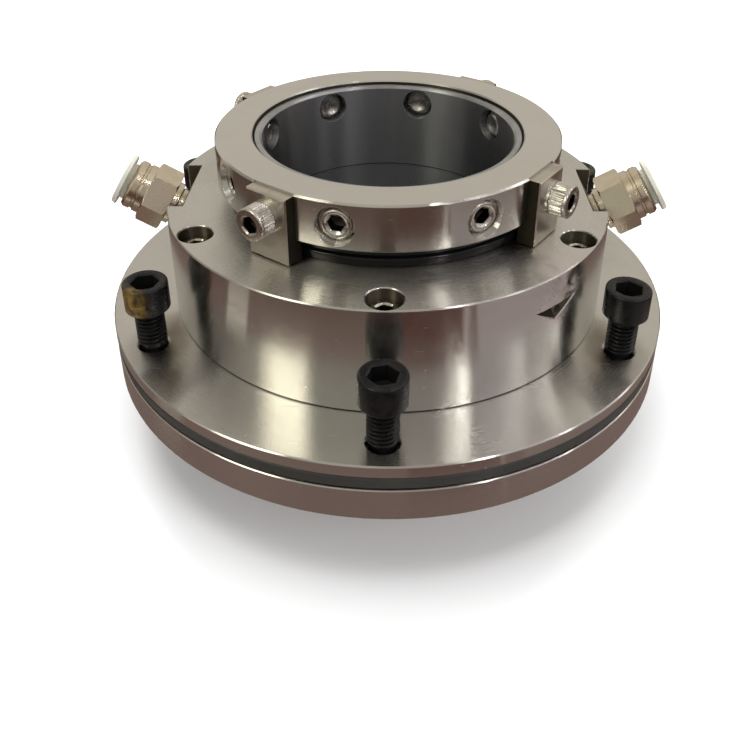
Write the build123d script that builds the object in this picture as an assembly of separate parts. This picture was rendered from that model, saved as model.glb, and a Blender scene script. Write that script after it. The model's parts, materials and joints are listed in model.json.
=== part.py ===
from build123d import *
import math
import os

# Cartridge mechanical seal, in millimetres.
# The origin is the centre of the spigot's lower annular face, +Z points away from the pump.
# Azimuths are in degrees from +X. The two quick-connect fittings sit at 0 and 180.

# --- driving dimensions: flange and gland -------------------------------------------------
SHAFT_R = 42.5
SPIGOT_R, SPIGOT_H = 68.0, 25.5
FLANGE_R, FLANGE_T = 97.5, 20.0
FLANGE_TOP = SPIGOT_H + FLANGE_T
RING_GROOVE_Z0, RING_GROOVE_Z1, RING_GROOVE_R = 36.6, 41.3, 94.2
FLANGE_BORE_R = 60.0
EDGE = 0.4
FIT = 0.03

SCREW_PCR, SCREW_R, SCREW_PITCH_R, SCREW_MOUTH_R = 87.5, 4.75, 4.55, 5.3
SCREW_SEAT_Z, SCREW_LENGTH = 60.0, 40.0
SCREW_HEAD_R, SCREW_HEAD_H, SCREW_HEX_AF = 7.15, 9.5, 7.9
SCREW_FIRST_AZ = 30.0

GLAND_R, GLAND_TOP = 75.8, 81.7
GLAND_SCREW_PCR, COUNTERBORE_R, COUNTERBORE_DEPTH = 69.7, 5.4, 9.5
GLAND_SCREW_R, GLAND_SCREW_LENGTH = 2.95, 35.0
GLAND_CHAMBER_R, CHAMBER_Z0, CHAMBER_Z1 = 56.0, 50.0, 68.0
BUSHING_R, BUSHING_Z0, BUSHING_Z1 = 52.0, 71.0, 78.4
PRY_NOTCH_AZ, PRY_NOTCH_HALF, PRY_NOTCH_TOP, PRY_NOTCH_APEX, PRY_NOTCH_DEPTH = -47.3, 11.2, 71.2, 65.8, 5.0
INDEX_PIN_R, INDEX_PIN_FIT = 1.3, 0.02
GLAND_RING_R0, GLAND_RING_R1, GLAND_RING_DEPTH = 63.0, 66.0, 2.1
SNAP_RING_R0, SNAP_RING_R1, SNAP_RING_Z0, SNAP_RING_T = 49.8, 53.2, 78.55, 1.2
TAPPED_DEPTH = 13.0

# --- tilted ports and quick-connect fittings ------------------------------------------------
PORT_ELEVATION = 30.0
PORT_EDGE_X = 68.5
PORT_HALF_WIDTH = 16.3
PORT_AXIS_Z = 30.5
PORT_THREAD_R, PORT_THREAD_DEPTH, PORT_PASSAGE_R = 6.6, 12.0, 4.0
FITTING_HEX_AF, FITTING_HEX_Z0, FITTING_HEX_Z1, FITTING_END = 19.0, 3.9, 12.8, 19.2
TUBE_SOCKET_R, COLLET_BORE_R = 5.1, 6.7
RELEASE_DISC_R, RELEASE_DISC_Z0, RELEASE_DISC_Z1 = 9.3, 20.7, 22.4

# --- driving dimensions: rotor --------------------------------------------------------------
SLEEVE_R, SLEEVE_TOP, SLEEVE_BOTTOM, SLEEVE_STEP_H = 45.5, 103.4, 1.5, 3.5
SLEEVE_MOUTH = 0.8
SLEEVE_RELIEF_R, RELIEF_Z0, RELIEF_Z1 = 43.1, 30.0, 71.2
HEAD_R, HEAD_TOP = 57.0, 8.5
COLLAR_R, COLLAR_BORE_R, COLLAR_Z0, COLLAR_TOP = 58.0, 45.55, 89.1, 104.7
DUST_RING_R, DUST_LIP_R, DUST_RING_Z0, DUST_LIP_Z1 = 53.6, 54.2, 82.0, 85.2
FASTENER_Z = 96.7
SET_SCREW_R, SET_SCREW_OUT, SET_SCREW_IN, SET_SCREW_HEX_AF = 4.95, 56.6, 43.4, 4.9
SET_SCREW_MOUTH_R, SET_SCREW_MOUTH_DEPTH, SET_SCREW_WINDOW_R = 6.4, 2.4, 5.55
SET_SCREW_FIRST_AZ, SET_SCREW_COUNT = -104.8, 8
CLIP_FIRST_AZ, CLIP_COUNT = -125.0, 4
CLIP_SEAT, CLIP_FACE, CLIP_WIDTH, CLIP_BOTTOM, CLIP_TOP = 57.0, 61.0, 15.4, 82.0, 104.0
CLIP_FOOT_R, CLIP_FOOT_TOP = 54.8, 88.7
CLIP_HEAD_R, CLIP_HEAD_H, CLIP_WASHER_T, CLIP_HEX_AF, CLIP_SCREW_R = 5.2, 5.8, 1.5, 5.0, 2.95

# --- driving dimensions: seal faces, springs and their holder ------------------------------
ROTATING_FACE_Z0, ROTATING_FACE_Z1, ROTATING_FACE_R = 8.5, 20.0, 56.0
FILM_GAP = 0.05
FACE_NOSE_IN, FACE_NOSE_OUT = 49.5, 53.5
STATIONARY_R, STATIONARY_Z1, STATIONARY_BORE_R = 57.0, 37.0, 53.0
STATIC_CLEAR_R = 46.8
THRUST_RING_T = 2.2
HOLDER_R, HOLDER_Z0, HOLDER_Z1 = 62.0, 41.0, 50.0
HUB_R, HUB_TIP = 49.4, 31.4
SPRING_PCR, SPRING_COUNT, SPRING_HOLE_R, SPRING_TOP = 54.5, 8, 2.9, 47.0
SPRING_R, SPRING_WIRE_R, SPRING_TURNS = 2.1, 0.4, 3
HOLDER_GROOVE_DEPTH, HOLDER_GROOVE_Z0, HOLDER_GROOVE_Z1 = 2.4, 46.2, 49.0
SHAFT_GROOVE_DEPTH, SHAFT_GROOVE_Z0, SHAFT_GROOVE_Z1 = 2.2, 3.6, 6.8
ROTATION_PIN_PCR, ROTATION_PIN_R, ROTATION_PIN_TOP, ROTATION_SLOT_R = 57.6, 1.5, 45.9, 1.9
DRIVE_PIN_PCR, DRIVE_PIN_R, DRIVE_PIN_Z0 = 52.5, 1.5, 3.5
PIN_FIT = 0.01

REACH = 60.0


# --- helpers --------------------------------------------------------------------------------
def turned(*outline):
    """A solid turned about Z from a closed outline of (radius, height) points."""
    return revolve(Plane.XZ * make_face(Polyline(*outline, close=True)), Axis.Z)


def ring(r_in, r_out, z0, z1, chamfer=0.0):
    """A plain ring, with its four edges chamfered."""
    c = chamfer
    if not c:
        return turned((r_in, z0), (r_out, z0), (r_out, z1), (r_in, z1))
    return turned(
        (r_in + c, z0), (r_out - c, z0), (r_out, z0 + c), (r_out, z1 - c),
        (r_out - c, z1), (r_in + c, z1), (r_in, z1 - c), (r_in, z0 + c),
    )


def seated_o_ring(r_in, r_out, z_mid, height):
    """An O-ring squeezed in its groove: flat where it is pressed, with bevelled corners between."""
    corner = 0.29 * min(r_out - r_in, height)
    return ring(r_in, r_out, z_mid - height / 2, z_mid + height / 2, corner)


def bar(radius, z0, z1):
    """A cylinder along Z between two heights."""
    return Pos(0, 0, (z0 + z1) / 2) * Cylinder(radius, z1 - z0)


def cone(r0, r1, z0, z1):
    """A cone frustum along Z between two heights."""
    return Pos(0, 0, (z0 + z1) / 2) * Cone(r0, r1, z1 - z0)


def hexagon(across_flats, z0, z1):
    """A hexagonal bar along Z between two heights."""
    profile = RegularPolygon(across_flats / math.sqrt(3), 6)
    return Pos(0, 0, z0) * extrude(profile, z1 - z0)


def radial(azimuth, z):
    """A frame whose +Z points radially outwards at this azimuth and height."""
    return Rot(0, 0, azimuth) * Pos(0, 0, z) * Rot(0, 90, 0)


def upright(azimuth, radius):
    """A frame whose +Z is the part's +Z, at this place on a bolt circle."""
    return Rot(0, 0, azimuth) * Pos(radius, 0, 0)


def around(count, first=0.0):
    """Evenly spaced azimuths."""
    return [first + 360.0 / count * k for k in range(count)]


def joined(solids):
    """One shape from several solids."""
    solids = list(solids)
    return solids[0] if len(solids) == 1 else Compound(children=solids)


def cap_screw(radius, length, head_r, head_h, hex_af, rim):
    """A socket head cap screw along Z: its head stands on z = 0 and its shank hangs below."""
    body = turned(
        (0, -length), (radius - rim, -length), (radius, -length + rim), (radius, 0),
        (head_r - rim, 0), (head_r, rim), (head_r, head_h - rim), (head_r - rim, head_h), (0, head_h),
    )
    return body - hexagon(hex_af, head_h * 0.4, head_h + 1)


def flange_screw():
    """One black flange screw: where its thread is engaged, flange and screw meet at the pitch radius."""
    screw = cap_screw(SCREW_R, SCREW_LENGTH, SCREW_HEAD_R, SCREW_HEAD_H, SCREW_HEX_AF, 0.8)
    hex_corner = SCREW_HEX_AF / math.sqrt(3)
    screw -= cone(SCREW_HEX_AF * 0.42, hex_corner + 0.3, SCREW_HEAD_H - 1.2, SCREW_HEAD_H + 0.2)
    return screw - ring(SCREW_PITCH_R, SCREW_R + 1, SPIGOT_H - SCREW_SEAT_Z, FLANGE_TOP - SCREW_SEAT_Z)


# --- stator: flange, gland and what they hold -----------------------------------------------
def flange_plate():
    """Bolting flange with the O-ring groove in its rim and the spigot below, one turned piece."""
    e = EDGE
    plate = turned(
        (FLANGE_BORE_R + e, 0), (SPIGOT_R - 1.2, 0), (SPIGOT_R, 1.2), (SPIGOT_R, SPIGOT_H),
        (FLANGE_R - e, SPIGOT_H), (FLANGE_R, SPIGOT_H + e),
        (FLANGE_R, RING_GROOVE_Z0 - 0.3), (FLANGE_R - 0.3, RING_GROOVE_Z0), (RING_GROOVE_R, RING_GROOVE_Z0),
        (RING_GROOVE_R, RING_GROOVE_Z1), (FLANGE_R - 0.3, RING_GROOVE_Z1), (FLANGE_R, RING_GROOVE_Z1 + 0.3),
        (FLANGE_R, FLANGE_TOP - e), (FLANGE_R - e, FLANGE_TOP),
        (HOLDER_R + FIT, FLANGE_TOP), (HOLDER_R + FIT, HOLDER_Z0), (FLANGE_BORE_R, HOLDER_Z0),
        (FLANGE_BORE_R, e),
    )
    hole = bar(SCREW_PITCH_R + FIT, SPIGOT_H - 1, FLANGE_TOP + 1)
    hole += cone(SCREW_PITCH_R, SCREW_MOUTH_R, FLANGE_TOP - 0.9, FLANGE_TOP)
    hole += cone(SCREW_MOUTH_R, SCREW_PITCH_R, SPIGOT_H, SPIGOT_H + 0.9)
    tapped = bar(GLAND_SCREW_R + FIT, FLANGE_TOP - TAPPED_DEPTH, FLANGE_TOP + 1)
    for azimuth in around(6, SCREW_FIRST_AZ):
        plate -= upright(azimuth, SCREW_PCR) * hole
        plate -= upright(azimuth, GLAND_SCREW_PCR) * tapped
    return plate


def port(side):
    """The frame of one tilted port: its origin is on the spot face, +Z points out along the port."""
    tilt = math.radians(PORT_ELEVATION)
    seat_x = (PORT_EDGE_X * math.cos(tilt) + (GLAND_TOP - PORT_AXIS_Z) * math.sin(tilt))
    seat_x /= math.cos(tilt) + math.tan(tilt) * math.sin(tilt)
    seat_z = PORT_AXIS_Z + seat_x * math.tan(tilt)
    return Rot(0, 0, 0 if side == "right" else 180) * Pos(seat_x, 0, seat_z) * Rot(0, 90 - PORT_ELEVATION, 0)


def pry_notch():
    """The three-sided pocket in the gland's side: a level ceiling and two flanks that meet in a valley."""
    lift = 3.0
    slope = (PRY_NOTCH_TOP - PRY_NOTCH_APEX) / PRY_NOTCH_DEPTH
    x_deep = GLAND_R - PRY_NOTCH_DEPTH
    x_out = GLAND_R + lift
    widen = PRY_NOTCH_HALF * (x_out - x_deep) / PRY_NOTCH_DEPTH
    apex_z = PRY_NOTCH_TOP - slope * (x_out - x_deep)
    ceiling = [(x_deep, 0, PRY_NOTCH_TOP), (x_out, -widen, PRY_NOTCH_TOP), (x_out, widen, PRY_NOTCH_TOP)]
    apex = (x_out, 0, apex_z)
    faces = [make_face(Polyline(*ceiling, close=True))]
    for a, b in ((0, 1), (1, 2), (2, 0)):
        faces.append(make_face(Polyline(ceiling[a], ceiling[b], apex, close=True)))
    return Rot(0, 0, PRY_NOTCH_AZ) * Solid(Shell([f.face() for f in faces]))


def index_pin_frame():
    """The frame of the small pin that stands in the pocket's flank."""
    inset = 2.6
    z = PRY_NOTCH_TOP - 3.1
    return Rot(0, 0, PRY_NOTCH_AZ) * Pos(GLAND_R - inset, 1.6, z) * Rot(0, 75, 30)


def gland_body():
    """Gland with the tilted spot faces and ports, counterbored screw holes and the bushing boss."""
    e = EDGE
    body = turned(
        (HOLDER_R + FIT, FLANGE_TOP), (GLAND_R - 0.5, FLANGE_TOP), (GLAND_R, FLANGE_TOP + 0.5),
        (GLAND_R, GLAND_TOP - e), (GLAND_R - e, GLAND_TOP),
        (BUSHING_R + 0.5, GLAND_TOP), (BUSHING_R + FIT, GLAND_TOP - 0.5),
        (BUSHING_R + FIT, BUSHING_Z0), (BUSHING_R - 3, BUSHING_Z0),
        (BUSHING_R - 3, CHAMBER_Z1), (GLAND_CHAMBER_R, CHAMBER_Z1),
        (GLAND_CHAMBER_R, CHAMBER_Z0), (HOLDER_R + FIT, CHAMBER_Z0),
    )
    body -= ring(GLAND_RING_R0, GLAND_RING_R1, FLANGE_TOP - 1, FLANGE_TOP + GLAND_RING_DEPTH)
    snap_top = SNAP_RING_Z0 + SNAP_RING_T
    body -= ring(BUSHING_R - 1, SNAP_RING_R1 + 0.1, SNAP_RING_Z0 - 0.05, snap_top + 0.05)
    seat = GLAND_TOP - COUNTERBORE_DEPTH
    hole = bar(GLAND_SCREW_R + 0.35, FLANGE_TOP - 1, GLAND_TOP + 1) + bar(COUNTERBORE_R, seat, GLAND_TOP + 1)
    hole += cone(COUNTERBORE_R, COUNTERBORE_R + 0.6, GLAND_TOP - 0.5, GLAND_TOP + 0.1)
    for azimuth in around(6, SCREW_FIRST_AZ):
        body -= upright(azimuth, GLAND_SCREW_PCR) * hole
    for side in ("left", "right"):
        spot_face = Pos(0, 0, REACH / 2) * Box(REACH, 2 * PORT_HALF_WIDTH, REACH)
        thread = bar(PORT_THREAD_R, -PORT_THREAD_DEPTH, 1)
        thread += cone(PORT_THREAD_R, PORT_THREAD_R + 0.9, -0.8, 0.1)
        passage = bar(PORT_PASSAGE_R, -22.0, 0)
        body -= port(side) * spot_face
        body -= port(side) * (thread + passage)
    body -= pry_notch()
    body -= index_pin_frame() * bar(INDEX_PIN_R, -4, 3)
    return body


def spring_holder():
    """Holder clamped between flange and gland, with the hub that the stationary face slides on."""
    holder = turned(
        (STATIC_CLEAR_R, HUB_TIP), (HUB_R - 0.6, HUB_TIP), (HUB_R, HUB_TIP + 0.6), (HUB_R, HOLDER_Z0),
        (HOLDER_R, HOLDER_Z0), (HOLDER_R, HOLDER_Z1), (STATIC_CLEAR_R, HOLDER_Z1),
    )
    holder -= ring(HOLDER_R - HOLDER_GROOVE_DEPTH, HOLDER_R + 1, HOLDER_GROOVE_Z0, HOLDER_GROOVE_Z1)
    for azimuth in around(SPRING_COUNT, 22.5):
        holder -= upright(azimuth, SPRING_PCR) * bar(SPRING_HOLE_R, HOLDER_Z0 - 1, SPRING_TOP)
    pin_hole = bar(ROTATION_PIN_R + PIN_FIT, HOLDER_Z0 - 1, ROTATION_PIN_TOP + 0.1)
    for azimuth in around(2):
        holder -= upright(azimuth, ROTATION_PIN_PCR) * pin_hole
    return holder


def face_springs():
    """The ring of small coil springs that load the stationary face."""
    height = SPRING_TOP - STATIONARY_Z1 - THRUST_RING_T
    lift = height - 2 * SPRING_WIRE_R
    path = Helix(pitch=lift / SPRING_TURNS, height=lift, radius=SPRING_R)
    wire = Plane(origin=path @ 0, z_dir=path % 0) * Rectangle(2 * SPRING_WIRE_R, 2 * SPRING_WIRE_R)
    coil = Pos(0, 0, STATIONARY_Z1 + THRUST_RING_T + SPRING_WIRE_R) * sweep(wire, path, is_frenet=True)
    return joined(upright(azimuth, SPRING_PCR) * coil for azimuth in around(SPRING_COUNT, 22.5))


def fitting_body(side):
    """Push-in tube fitting: threaded shank, hexagon and the round head that holds the release collar."""
    shank = turned(
        (0, -9), (PORT_THREAD_R - 1.1, -9), (PORT_THREAD_R - FIT, -8), (PORT_THREAD_R - FIT, 1.6),
        (6.0, 1.9), (7.7, 2.1), (7.7, FITTING_HEX_Z0), (8.9, FITTING_HEX_Z0), (8.9, FITTING_HEX_Z1 + 2.2),
        (8.3, FITTING_HEX_Z1 + 2.5), (8.3, FITTING_HEX_Z1 + 3.2), (8.8, FITTING_HEX_Z1 + 3.5),
        (8.8, FITTING_END - 1.0), (8.0, FITTING_END), (0, FITTING_END),
    )
    corner = FITTING_HEX_AF / math.sqrt(3)
    trim = turned(
        (0, FITTING_HEX_Z0), (corner - 0.9, FITTING_HEX_Z0), (corner, FITTING_HEX_Z0 + 0.55),
        (corner, FITTING_HEX_Z1 - 0.55), (corner - 1.3, FITTING_HEX_Z1), (0, FITTING_HEX_Z1),
    )
    nut = hexagon(FITTING_HEX_AF, FITTING_HEX_Z0, FITTING_HEX_Z1) & trim
    body = shank + Rot(0, 0, 30) * nut
    body -= bar(3.5, -10, 2)
    body -= bar(TUBE_SOCKET_R, 0.5, 10)
    body -= bar(COLLET_BORE_R, 5.0, 7.6)
    body -= bar(COLLET_BORE_R, 8.4, FITTING_END + 1)
    return port(side) * body


def release_collar(side):
    """Release collar of a fitting: a flat disc on a tube that spreads the grip ring when pushed in."""
    collar = turned(
        (TUBE_SOCKET_R + 0.1, 11.4), (6.2, 11.4), (COLLET_BORE_R - 0.08, 12.2),
        (COLLET_BORE_R - 0.08, RELEASE_DISC_Z0),
        (RELEASE_DISC_R - 0.3, RELEASE_DISC_Z0), (RELEASE_DISC_R, RELEASE_DISC_Z0 + 0.3),
        (RELEASE_DISC_R - 0.2, RELEASE_DISC_Z1 - 0.4), (RELEASE_DISC_R - 0.7, RELEASE_DISC_Z1),
        (TUBE_SOCKET_R + 0.9, RELEASE_DISC_Z1), (TUBE_SOCKET_R + 0.1, RELEASE_DISC_Z1 - 0.8),
    )
    return port(side) * collar


# --- floating face --------------------------------------------------------------------------
def rotation_slots(z0, z1):
    """The two rim slots that the anti-rotation pins run in."""
    slots = [upright(azimuth, ROTATION_PIN_PCR) * bar(ROTATION_SLOT_R, z0, z1) for azimuth in around(2)]
    return slots[0] + slots[1]


def stationary_face():
    """The spring-loaded face ring: a narrow lapped nose, a web and a skirt that slides over the hub."""
    nose = ROTATING_FACE_Z1 + FILM_GAP
    face = turned(
        (FACE_NOSE_IN, nose), (FACE_NOSE_OUT, nose), (FACE_NOSE_OUT, nose + 3), (STATIONARY_R - 0.6, nose + 3),
        (STATIONARY_R, nose + 3.6), (STATIONARY_R, STATIONARY_Z1), (STATIONARY_BORE_R, STATIONARY_Z1),
        (STATIONARY_BORE_R, 29.5), (STATIC_CLEAR_R, 29.5), (STATIC_CLEAR_R, nose + 3), (FACE_NOSE_IN, nose + 3),
    )
    return face - rotation_slots(28, STATIONARY_Z1 + 1)


def thrust_ring():
    """The flat ring that spreads the springs' load over the back of the stationary face."""
    plate = ring(50.2, STATIONARY_R, STATIONARY_Z1, STATIONARY_Z1 + THRUST_RING_T)
    return plate - rotation_slots(STATIONARY_Z1 - 1, STATIONARY_Z1 + THRUST_RING_T + 1)


# --- rotor ----------------------------------------------------------------------------------
def sleeve():
    """Shaft sleeve: relieved bore, driving head for the rotating face and windows for the set screws."""
    body = turned(
        (SHAFT_R + 0.5, SLEEVE_BOTTOM), (HEAD_R - 0.6, SLEEVE_BOTTOM), (HEAD_R, SLEEVE_BOTTOM + 0.6),
        (HEAD_R, HEAD_TOP), (SLEEVE_R, HEAD_TOP), (SLEEVE_R, SLEEVE_TOP - SLEEVE_STEP_H),
        (SLEEVE_R - 0.45, SLEEVE_TOP - SLEEVE_STEP_H), (SLEEVE_R - 0.45, SLEEVE_TOP - 0.2),
        (SLEEVE_R - 0.65, SLEEVE_TOP),
        (SHAFT_R + SLEEVE_MOUTH, SLEEVE_TOP), (SHAFT_R, SLEEVE_TOP - SLEEVE_MOUTH), (SHAFT_R, RELIEF_Z1),
        (SLEEVE_RELIEF_R, RELIEF_Z1 - 0.6), (SLEEVE_RELIEF_R, RELIEF_Z0 + 0.6), (SHAFT_R, RELIEF_Z0),
        (SHAFT_R, SLEEVE_BOTTOM + 0.5),
    )
    body -= ring(SHAFT_R - 1, SHAFT_R + SHAFT_GROOVE_DEPTH, SHAFT_GROOVE_Z0, SHAFT_GROOVE_Z1)
    for azimuth in around(SET_SCREW_COUNT, SET_SCREW_FIRST_AZ):
        body -= radial(azimuth, FASTENER_Z) * bar(SET_SCREW_WINDOW_R, 35, 50)
    for azimuth in around(2, 90):
        body -= upright(azimuth, DRIVE_PIN_PCR) * bar(DRIVE_PIN_R + PIN_FIT, DRIVE_PIN_Z0, HEAD_TOP + 1)
    return body


def rotating_face():
    """The wide lapped ring that turns with the sleeve, counterbored for its O-ring."""
    face = turned(
        (SLEEVE_R + 3.6, ROTATING_FACE_Z0), (ROTATING_FACE_R - 0.5, ROTATING_FACE_Z0),
        (ROTATING_FACE_R, ROTATING_FACE_Z0 + 0.5), (ROTATING_FACE_R, ROTATING_FACE_Z1 - 0.4),
        (ROTATING_FACE_R - 0.4, ROTATING_FACE_Z1), (SLEEVE_R + 0.8, ROTATING_FACE_Z1),
        (SLEEVE_R + 0.5, ROTATING_FACE_Z1 - 0.3), (SLEEVE_R + 0.5, 12.0), (SLEEVE_R + 3.6, 12.0),
    )
    for azimuth in around(2, 90):
        face -= upright(azimuth, DRIVE_PIN_PCR) * bar(DRIVE_PIN_R + 0.3, ROTATING_FACE_Z0 - 1, 13.5)
    return face


def dust_ring():
    """The rubber dust ring between collar and gland, with a wider lip at its foot."""
    return turned(
        (SLEEVE_R + 0.02, DUST_RING_Z0), (DUST_LIP_R - 0.7, DUST_RING_Z0), (DUST_LIP_R, DUST_RING_Z0 + 0.7),
        (DUST_LIP_R, DUST_LIP_Z1 - 0.7), (DUST_LIP_R - 0.7, DUST_LIP_Z1),
        (DUST_RING_R - 0.4, DUST_LIP_Z1 + 0.3),
        (DUST_RING_R, DUST_LIP_Z1 + 0.8), (DUST_RING_R, COLLAR_Z0), (SLEEVE_R + 0.02, COLLAR_Z0),
    )


def drive_collar():
    """Drive collar with its countersunk set-screw holes, clip seats and tapped clip-screw holes."""
    e = 0.6
    collar = turned(
        (COLLAR_BORE_R, COLLAR_Z0), (COLLAR_R - e, COLLAR_Z0), (COLLAR_R, COLLAR_Z0 + e),
        (COLLAR_R, COLLAR_TOP - e), (COLLAR_R - e, COLLAR_TOP),
        (COLLAR_BORE_R + 0.6, COLLAR_TOP), (COLLAR_BORE_R, COLLAR_TOP - 0.6),
    )
    for azimuth in around(SET_SCREW_COUNT, SET_SCREW_FIRST_AZ):
        mouth = cone(SET_SCREW_R + 0.35, SET_SCREW_MOUTH_R, COLLAR_R - SET_SCREW_MOUTH_DEPTH, COLLAR_R + 0.1)
        collar -= radial(azimuth, FASTENER_Z) * (bar(SET_SCREW_R + FIT, 40, COLLAR_R + 1) + mouth)
    for azimuth in around(CLIP_COUNT, CLIP_FIRST_AZ):
        seat_cut = Pos(CLIP_SEAT + 5, 0, FASTENER_Z) * Box(10, CLIP_WIDTH + 0.2, 30)
        collar -= Rot(0, 0, azimuth) * seat_cut
        collar -= radial(azimuth, FASTENER_Z) * bar(CLIP_SCREW_R + FIT, 40, COLLAR_R + 1)
    return collar


def setting_clip(azimuth):
    """One setting clip: a plate on the collar's seat whose foot turns in below the collar, over the gland."""
    profile = Polyline(
        (CLIP_FOOT_R, CLIP_BOTTOM), (CLIP_FACE, CLIP_BOTTOM), (CLIP_FACE, CLIP_TOP),
        (CLIP_SEAT, CLIP_TOP), (CLIP_SEAT, CLIP_FOOT_TOP), (CLIP_FOOT_R, CLIP_FOOT_TOP), close=True,
    )
    block = extrude(Plane.XZ * make_face(profile), CLIP_WIDTH / 2, both=True)
    block = chamfer(block.edges().group_by(Axis.X)[-1], 0.4)
    block -= Pos(0, 0, FASTENER_Z) * Rot(0, 90, 0) * bar(CLIP_SCREW_R + 0.35, 50, 70)
    return Rot(0, 0, azimuth) * block


def clip_screws():
    """The four knurled cap screws that hold the setting clips."""
    seat = CLIP_FACE + CLIP_WASHER_T
    screw = Pos(0, 0, seat) * cap_screw(CLIP_SCREW_R, 13.0, CLIP_HEAD_R, CLIP_HEAD_H, CLIP_HEX_AF, 0.5)
    return joined(radial(azimuth, FASTENER_Z) * screw for azimuth in around(CLIP_COUNT, CLIP_FIRST_AZ))


def clip_spring_washers():
    """The split spring washers under the clip screws."""
    washer = ring(CLIP_SCREW_R + 0.2, CLIP_HEAD_R + 0.1, CLIP_FACE, CLIP_FACE + CLIP_WASHER_T)
    washer -= Pos(4, 0, CLIP_FACE + CLIP_WASHER_T / 2) * Rot(25, 0, 0) * Box(5, 0.7, 5)
    return joined(radial(azimuth, FASTENER_Z) * washer for azimuth in around(CLIP_COUNT, CLIP_FIRST_AZ))


def set_screws():
    """The eight cup-point set screws that lock the collar through the sleeve to the shaft."""
    screw = turned(
        (0, SET_SCREW_IN + 1.2), (SET_SCREW_R - 2.0, SET_SCREW_IN), (SET_SCREW_R, SET_SCREW_IN + 1.7),
        (SET_SCREW_R, SET_SCREW_OUT - 0.6), (SET_SCREW_R - 0.6, SET_SCREW_OUT), (0, SET_SCREW_OUT),
    )
    screw -= hexagon(SET_SCREW_HEX_AF, SET_SCREW_OUT - 5, SET_SCREW_OUT + 1)
    azimuths = around(SET_SCREW_COUNT, SET_SCREW_FIRST_AZ)
    return joined(radial(azimuth, FASTENER_Z) * screw for azimuth in azimuths)


# --- all the pieces -------------------------------------------------------------------------
def pins(radius, pitch_radius, z0, z1, first):
    """Two opposite dowel pins."""
    return joined(upright(azimuth, pitch_radius) * bar(radius, z0, z1) for azimuth in around(2, first))


def screw_set(screw, pitch_radius, seat_z):
    """Six equal screws on a bolt circle."""
    return joined(
        upright(azimuth, pitch_radius) * Pos(0, 0, seat_z) * screw for azimuth in around(6, SCREW_FIRST_AZ)
    )


def retaining_ring():
    """The open ring that keeps the throttle bushing in its bore."""
    wire = ring(SNAP_RING_R0, SNAP_RING_R1, SNAP_RING_Z0, SNAP_RING_Z0 + SNAP_RING_T)
    return wire - Pos(BUSHING_R, 0, BUSHING_Z1) * Box(8, 7, 6)


def pieces():
    """Every separate piece by its node name."""
    rim_groove_z = (RING_GROOVE_Z0 + RING_GROOVE_Z1) / 2
    gland_screw = cap_screw(GLAND_SCREW_R, GLAND_SCREW_LENGTH, 5.0, 6.0, 5.0, 0.4)
    found = {
        "flange_plate": flange_plate(),
        "flange_o_ring": seated_o_ring(RING_GROOVE_R, FLANGE_R - 0.15, rim_groove_z, 4.4),
        "flange_screws": screw_set(flange_screw(), SCREW_PCR, SCREW_SEAT_Z),
        "gland_body": gland_body(),
        "gland_o_ring": seated_o_ring(GLAND_RING_R0 + 0.2, GLAND_RING_R1 - 0.2, FLANGE_TOP + 1.03, 2.0),
        "gland_screws": screw_set(gland_screw, GLAND_SCREW_PCR, GLAND_TOP - COUNTERBORE_DEPTH),
        "index_pin": index_pin_frame() * bar(INDEX_PIN_R - INDEX_PIN_FIT, -4, 0.6),
        "spring_holder": spring_holder(),
        "holder_o_ring": seated_o_ring(HOLDER_R - HOLDER_GROOVE_DEPTH + 0.05, HOLDER_R, 47.6, 2.7),
        "anti_rotation_pins": pins(ROTATION_PIN_R, ROTATION_PIN_PCR, 30.5, ROTATION_PIN_TOP, 0),
        "face_springs": face_springs(),
        "throttle_bushing": ring(STATIC_CLEAR_R - 0.8, BUSHING_R, BUSHING_Z0, BUSHING_Z1, 0.5),
        "bushing_retaining_ring": retaining_ring(),
        "stationary_face": stationary_face(),
        "stationary_face_o_ring": seated_o_ring(HUB_R + 0.05, STATIONARY_BORE_R - 0.02, 33.5, 3.5),
        "thrust_ring": thrust_ring(),
        "sleeve": sleeve(),
        "shaft_o_ring": seated_o_ring(SHAFT_R + FIT, SHAFT_R + SHAFT_GROOVE_DEPTH, 5.2, 3.0),
        "rotating_face": rotating_face(),
        "rotating_face_o_ring": seated_o_ring(SLEEVE_R + 0.02, SLEEVE_R + 3.55, 10.2, 3.3),
        "drive_pins": pins(DRIVE_PIN_R, DRIVE_PIN_PCR, DRIVE_PIN_Z0, 13.0, 90),
        "drive_collar": drive_collar(),
        "dust_ring": dust_ring(),
        "set_screws": set_screws(),
        "clip_screws": clip_screws(),
        "clip_spring_washers": clip_spring_washers(),
    }
    for index, azimuth in enumerate(around(CLIP_COUNT, CLIP_FIRST_AZ), start=1):
        found[f"setting_clip_{index}"] = setting_clip(azimuth)
    for side in ("left", "right"):
        found[f"{side}_fitting_body"] = fitting_body(side)
        found[f"{side}_release_collar"] = release_collar(side)
        found[f"{side}_grip_ring"] = port(side) * ring(TUBE_SOCKET_R - 0.2, COLLET_BORE_R - FIT, 9.0, 10.0)
        found[f"{side}_tube_seal"] = port(side) * seated_o_ring(TUBE_SOCKET_R + 0.02, COLLET_BORE_R, 6.3, 2.4)
    return found


os.makedirs("parts", exist_ok=True)
for node, solid in pieces().items():
    export_step(solid, os.path.join("parts", node + ".step"))
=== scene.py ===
"""Looks, studio and camera for the cartridge mechanical seal.

Sizes are in millimetres unless a name or a comment says otherwise. The reflection cards and the
lamps are in metres, as the frame is."""
import json
import math

import bmesh
import bpy
from mathutils import Matrix, Vector


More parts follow.
